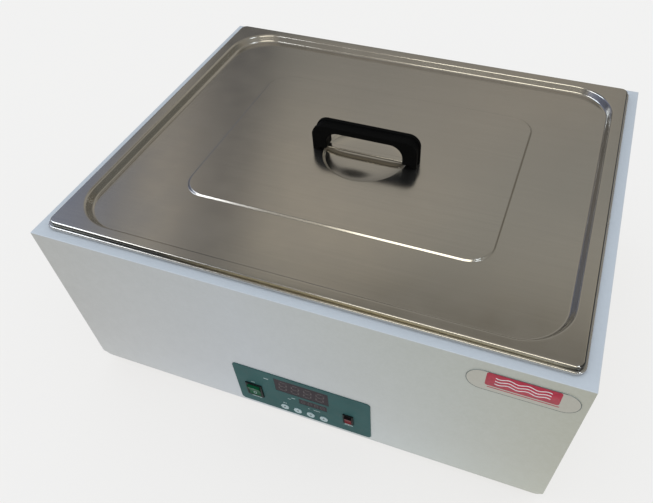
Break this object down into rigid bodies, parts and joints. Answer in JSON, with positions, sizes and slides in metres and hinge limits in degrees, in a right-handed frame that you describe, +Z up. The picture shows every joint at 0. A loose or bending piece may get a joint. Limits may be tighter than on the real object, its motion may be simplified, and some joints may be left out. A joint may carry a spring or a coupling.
{
  "type": "laboratory water bath",
  "caption": "Heated laboratory water bath: pressed steel pan in a painted cabinet with a lift-off lid, bridge handle, front controls and rear drain tap.",
  "frame": {"origin": "bottom centre of the assembly box, on the plane the rubber feet stand on", "axes": "+Z up, -Y out of the front control panel, +X to the right when facing the front"},
  "size_m": [0.684, 0.6109, 0.3208],
  "materials": {
    "powder_coat": "satin powder coat, pale grey white",
    "lid_steel": "satin pressed stainless steel",
    "pan_steel": "satin deep-drawn stainless steel",
    "handle_black": "moulded black thermoset, slightly glossy",
    "panel_teal": "printed dark teal overlay",
    "window_tint": "dark red-brown filter window",
    "key_white": "white moulded key",
    "rocker_green": "translucent green rocker",
    "rocker_red": "translucent red rocker",
    "switch_black": "moulded black nylon",
    "rubber_black": "moulded rubber",
    "silicone_grey": "flat silicone seal",
    "mineral_wool": "compressed mineral wool",
    "zinc_steel": "zinc-plated steel fasteners",
    "nickel_brass": "nickel-plated brass fittings",
    "brass": "turned brass",
    "heatsink_alloy": "extruded aluminium",
    "heater_sheath": "heat-tinted alloy sheath",
    "board_green": "solder-masked circuit board",
    "module_black": "potted module or display face",
    "terminal_cream": "moulded nylon terminal strip",
    "lever_blue": "dipped vinyl lever",
    "badge_pale": "blank pale nameplate",
    "wire_grey": "vinyl-sleeved wire bundle"
  },
  "bodies": {
    "cabinet": {"outer_housing": "powder_coat", "rear_panel": "powder_coat", "base_plate": "powder_coat", "rear_panel_screws": "zinc_steel", "base_plate_screws": "zinc_steel", "rubber_feet": "rubber_black", "foot_screws": "zinc_steel", "foot_nuts": "zinc_steel", "tank": "pan_steel", "tank_gasket": "silicone_grey", "insulation": "mineral_wool", "tank_fittings": "nickel_brass", "fitting_nuts": "nickel_brass", "heater_element": "heater_sheath", "temperature_probe": "pan_steel", "safety_probe": "pan_steel", "drain_fitting": "nickel_brass", "drain_nut": "nickel_brass", "drain_pipe": "pan_steel", "valve_body": "nickel_brass", "hose_tail": "nickel_brass", "control_panel": "panel_teal", "display_window": "window_tint", "timer_window": "window_tint", "display_module": "module_black", "timer_module": "module_black", "controller_board": "board_green", "board_standoffs": "brass", "board_screws": "zinc_steel", "tact_switches": "switch_black", "transformer": "module_black", "power_switch_body": "switch_black", "heater_switch_body": "switch_black", "switch_terminals": "brass", "badge_plate": "badge_pale", "relay_heatsink": "heatsink_alloy", "solid_state_relay": "module_black", "terminal_block": "terminal_cream", "safety_thermostat": "switch_black", "earth_stud": "brass", "power_inlet": "switch_black", "inlet_pins": "nickel_brass", "inlet_screws": "zinc_steel", "wiring_loom": "wire_grey"},
    "lid": {"lid": "lid_steel", "lid_handle": "handle_black", "handle_inserts": "brass", "handle_screws": "zinc_steel", "handle_strap": "lid_steel"},
    "tray": {"false_bottom": "pan_steel"},
    "power_rocker": {"power_rocker": "rocker_green"},
    "heater_rocker": {"heater_rocker": "rocker_red"},
    "set_key": {"set_key": "key_white"},
    "shift_key": {"shift_key": "key_white"},
    "down_key": {"down_key": "key_white"},
    "up_key": {"up_key": "key_white"},
    "tap": {"drain_ball": "nickel_brass", "drain_lever": "lever_blue", "lever_nut": "zinc_steel"},
    "fuse_drawer": {"fuse_drawer": "switch_black"}
  },
  "joints": [
    {"name": "lid_lift", "type": "slide", "parent": "cabinet", "child": "lid", "axis": [0, 0, 1], "range_m": [0, 0.25]},
    {"name": "tray_lift", "type": "slide", "parent": "cabinet", "child": "tray", "axis": [0, 0, 1], "range_m": [0, 0.085]},
    {"name": "power_rocker_tilt", "type": "hinge", "parent": "cabinet", "child": "power_rocker", "pos_m": [-0.069, -0.29969, 0.0595], "axis": [-1, 0, 0], "range_deg": [0, 18]},
    {"name": "heater_rocker_tilt", "type": "hinge", "parent": "cabinet", "child": "heater_rocker", "pos_m": [0.072, -0.29969, 0.059], "axis": [-1, 0, 0], "range_deg": [0, 18]},
    {"name": "set_key_press", "type": "slide", "parent": "cabinet", "child": "set_key", "axis": [0, 1, 0], "range_m": [0, 0.001], "stiffness_N_per_m": 300},
    {"name": "shift_key_press", "type": "slide", "parent": "cabinet", "child": "shift_key", "axis": [0, 1, 0], "range_m": [0, 0.001], "stiffness_N_per_m": 300},
    {"name": "down_key_press", "type": "slide", "parent": "cabinet", "child": "down_key", "axis": [0, 1, 0], "range_m": [0, 0.001], "stiffness_N_per_m": 300},
    {"name": "up_key_press", "type": "slide", "parent": "cabinet", "child": "up_key", "axis": [0, 1, 0], "range_m": [0, 0.001], "stiffness_N_per_m": 300},
    {"name": "tap_turn", "type": "hinge", "parent": "cabinet", "child": "tap", "pos_m": [0.16, 0.27351, 0.062], "axis": [0, 0, 1], "range_deg": [0, 90]},
    {"name": "fuse_drawer_pull", "type": "slide", "parent": "cabinet", "child": "fuse_drawer", "axis": [0, 1, 0], "range_m": [0, 0.02]}
  ]
}
